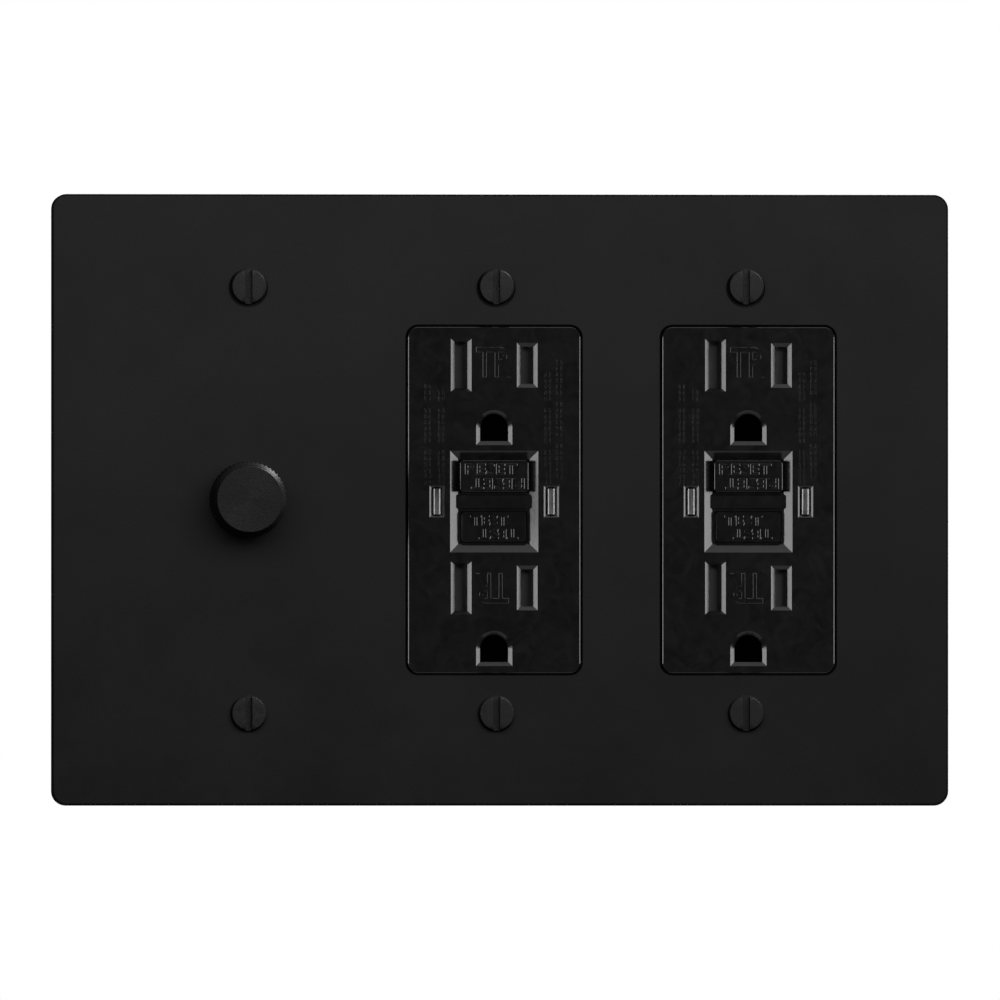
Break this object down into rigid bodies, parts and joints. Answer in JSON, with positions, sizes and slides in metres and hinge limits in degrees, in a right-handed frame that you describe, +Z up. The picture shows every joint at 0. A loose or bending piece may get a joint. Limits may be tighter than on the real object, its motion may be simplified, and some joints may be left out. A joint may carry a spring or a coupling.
{
  "type": "wall plate cover with dimmer and outlets",
  "caption": "Black metal wall plate fitted with a knurled push dimmer knob and tamper-resistant ground-fault outlets, with their straps, housings, contacts and screws.",
  "frame": {"origin": "centre of the plate, on the wall surface that it is fixed to", "axes": "+X to the right seen from the room, +Y into the wall, +Z up"},
  "size_m": [0.1724, 0.0458, 0.1174],
  "materials": {
    "plate_black": "matte powder coat",
    "screw_black": "satin black",
    "knob_black": "satin black, turned face and knurled rim",
    "face_plastic": "fine satin moulding",
    "button_plastic": "fine satin moulding",
    "housing_plastic": "matte moulding",
    "shutter_plastic": "smooth moulding",
    "lens": "polished smoky light pipe",
    "strap_aluminium": "mill finish",
    "steel": "zinc plated",
    "spring_steel": "drawn wire",
    "brass": "plain brass",
    "green_screw": "green dyed plating",
    "circuit_board": "green solder mask",
    "copper": "enamelled copper wire"
  },
  "bodies": {
    "plate": {"face_plate": "plate_black", "plate_screw_dimmer_top": "screw_black", "plate_screw_dimmer_bottom": "screw_black", "plate_screw_middle_top": "screw_black", "plate_screw_middle_bottom": "screw_black", "plate_screw_right_top": "screw_black", "plate_screw_right_bottom": "screw_black", "dimmer_strap": "strap_aluminium", "dimmer_housing": "housing_plastic", "dimmer_bushing": "brass", "dimmer_bushing_nut": "steel", "dimmer_potentiometer": "steel", "dimmer_plunger_spring": "spring_steel", "dimmer_circuit_board": "circuit_board", "dimmer_choke_coil": "copper", "dimmer_upper_terminal_screw": "brass", "dimmer_lower_terminal_screw": "brass", "middle_outlet_strap": "steel", "middle_outlet_face": "face_plastic", "middle_outlet_housing": "housing_plastic", "middle_reset_spring": "spring_steel", "middle_test_spring": "spring_steel", "middle_left_indicator_lens": "lens", "middle_right_indicator_lens": "lens", "middle_hot_contact": "brass", "middle_neutral_contact": "brass", "middle_ground_contact": "brass", "middle_circuit_board": "circuit_board", "middle_hot_upper_terminal_screw": "brass", "middle_hot_lower_terminal_screw": "brass", "middle_neutral_upper_terminal_screw": "steel", "middle_neutral_lower_terminal_screw": "steel", "middle_ground_terminal_screw": "green_screw", "right_outlet_strap": "steel", "right_outlet_face": "face_plastic", "right_outlet_housing": "housing_plastic", "right_reset_spring": "spring_steel", "right_test_spring": "spring_steel", "right_left_indicator_lens": "lens", "right_right_indicator_lens": "lens", "right_hot_contact": "brass", "right_neutral_contact": "brass", "right_ground_contact": "brass", "right_circuit_board": "circuit_board", "right_hot_upper_terminal_screw": "brass", "right_hot_lower_terminal_screw": "brass", "right_neutral_upper_terminal_screw": "steel", "right_neutral_lower_terminal_screw": "steel", "right_ground_terminal_screw": "green_screw"},
    "switch_plunger": {"dimmer_switch_plunger": "shutter_plastic"},
    "knob": {"dimmer_knob": "knob_black", "dimmer_shaft": "steel"},
    "middle_reset": {"middle_reset_button": "button_plastic"},
    "middle_test": {"middle_test_button": "button_plastic"},
    "middle_upper_shutter": {"middle_upper_shutter": "shutter_plastic"},
    "middle_lower_shutter": {"middle_lower_shutter": "shutter_plastic"},
    "right_reset": {"right_reset_button": "button_plastic"},
    "right_test": {"right_test_button": "button_plastic"},
    "right_upper_shutter": {"right_upper_shutter": "shutter_plastic"},
    "right_lower_shutter": {"right_lower_shutter": "shutter_plastic"}
  },
  "joints": [
    {"name": "dimmer_push", "type": "slide", "parent": "plate", "child": "switch_plunger", "axis": [0, 1, 0], "range_m": [0, 0.0012], "stiffness_N_per_m": 500, "springref_m": -0.003, "deforming": ["dimmer_plunger_spring"]},
    {"name": "dimmer_turn", "type": "hinge", "parent": "switch_plunger", "child": "knob", "pos_m": [-0.04875, 0, 0], "axis": [0, 1, 0], "range_deg": [-135, 135]},
    {"name": "middle_reset_push", "type": "slide", "parent": "plate", "child": "middle_reset", "axis": [0, 1, 0], "range_m": [0, 0.0012], "stiffness_N_per_m": 600, "springref_m": -0.002, "deforming": ["middle_reset_spring"]},
    {"name": "middle_test_push", "type": "slide", "parent": "plate", "child": "middle_test", "axis": [0, 1, 0], "range_m": [0, 0.0012], "stiffness_N_per_m": 600, "springref_m": -0.002, "deforming": ["middle_test_spring"]},
    {"name": "middle_upper_shutter_slide", "type": "slide", "parent": "plate", "child": "middle_upper_shutter", "axis": [1, 0, 0], "range_m": [0, 0.0032], "stiffness_N_per_m": 60, "springref_m": -0.003},
    {"name": "middle_lower_shutter_slide", "type": "slide", "parent": "plate", "child": "middle_lower_shutter", "axis": [1, 0, 0], "range_m": [0, 0.0032], "stiffness_N_per_m": 60, "springref_m": -0.003},
    {"name": "right_reset_push", "type": "slide", "parent": "plate", "child": "right_reset", "axis": [0, 1, 0], "range_m": [0, 0.0012], "stiffness_N_per_m": 600, "springref_m": -0.002, "deforming": ["right_reset_spring"]},
    {"name": "right_test_push", "type": "slide", "parent": "plate", "child": "right_test", "axis": [0, 1, 0], "range_m": [0, 0.0012], "stiffness_N_per_m": 600, "springref_m": -0.002, "deforming": ["right_test_spring"]},
    {"name": "right_upper_shutter_slide", "type": "slide", "parent": "plate", "child": "right_upper_shutter", "axis": [1, 0, 0], "range_m": [0, 0.0032], "stiffness_N_per_m": 60, "springref_m": -0.003},
    {"name": "right_lower_shutter_slide", "type": "slide", "parent": "plate", "child": "right_lower_shutter", "axis": [1, 0, 0], "range_m": [0, 0.0032], "stiffness_N_per_m": 60, "springref_m": -0.003}
  ]
}
